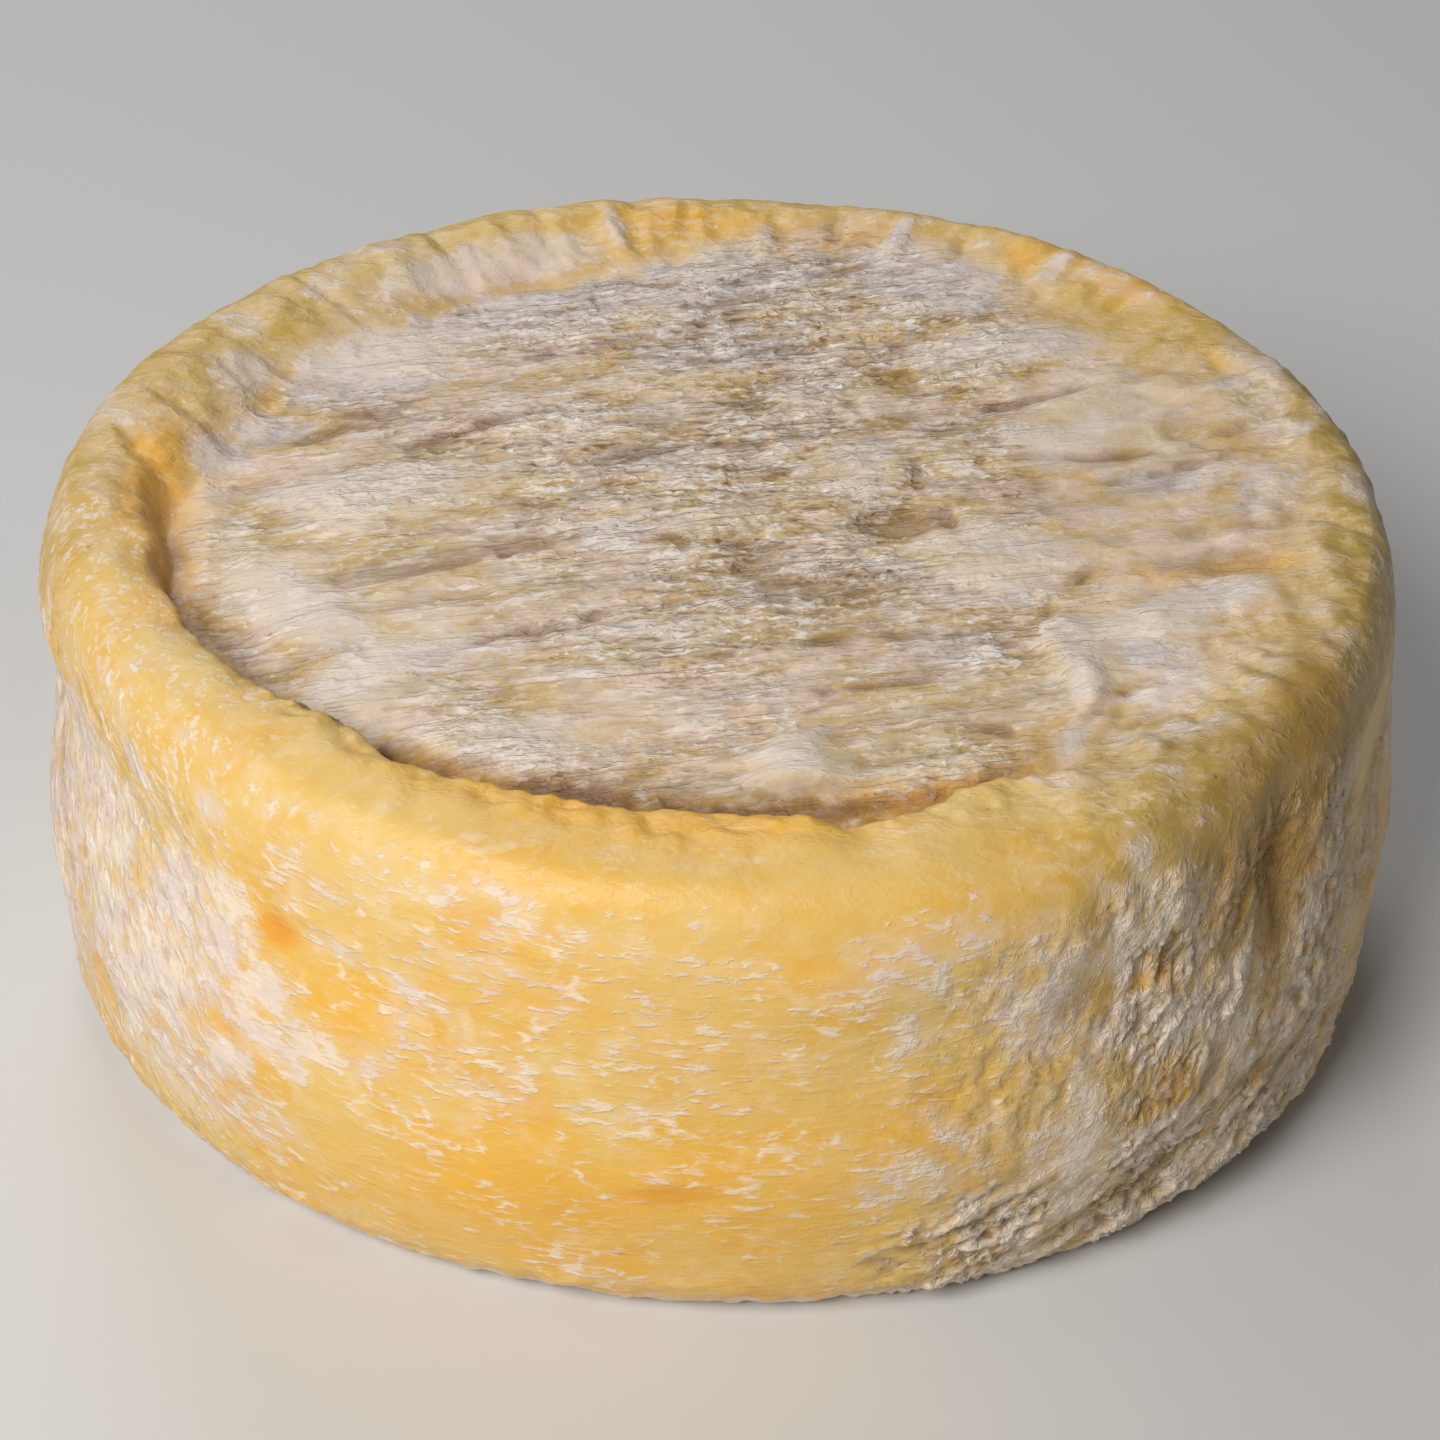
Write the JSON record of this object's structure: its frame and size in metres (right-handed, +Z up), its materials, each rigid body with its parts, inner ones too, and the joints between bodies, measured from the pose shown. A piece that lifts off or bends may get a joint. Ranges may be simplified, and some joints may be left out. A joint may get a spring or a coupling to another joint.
{
  "type": "whole washed rind cheese wheel",
  "caption": "Small whole soft-ripened cheese wheel with a rolled rim, a sunken, mat-ridged top and an uneven, folded rind, resting on its flat underside.",
  "frame": {"origin": "middle of the flat underside, at the bottom centre of the bounding box", "axes": "+Z up through the wheel's thickness, the shortest extent; -Y is the front as shown, +X to its right"},
  "size_m": [0.1176, 0.1156, 0.0473],
  "materials": {
    "rind": "pale yellow-orange washed rind, matte to slightly waxy, with a greyish white bloom in patches"
  },
  "bodies": {
    "root": {"cheese_wheel": "rind"}
  },
  "joints": []
}
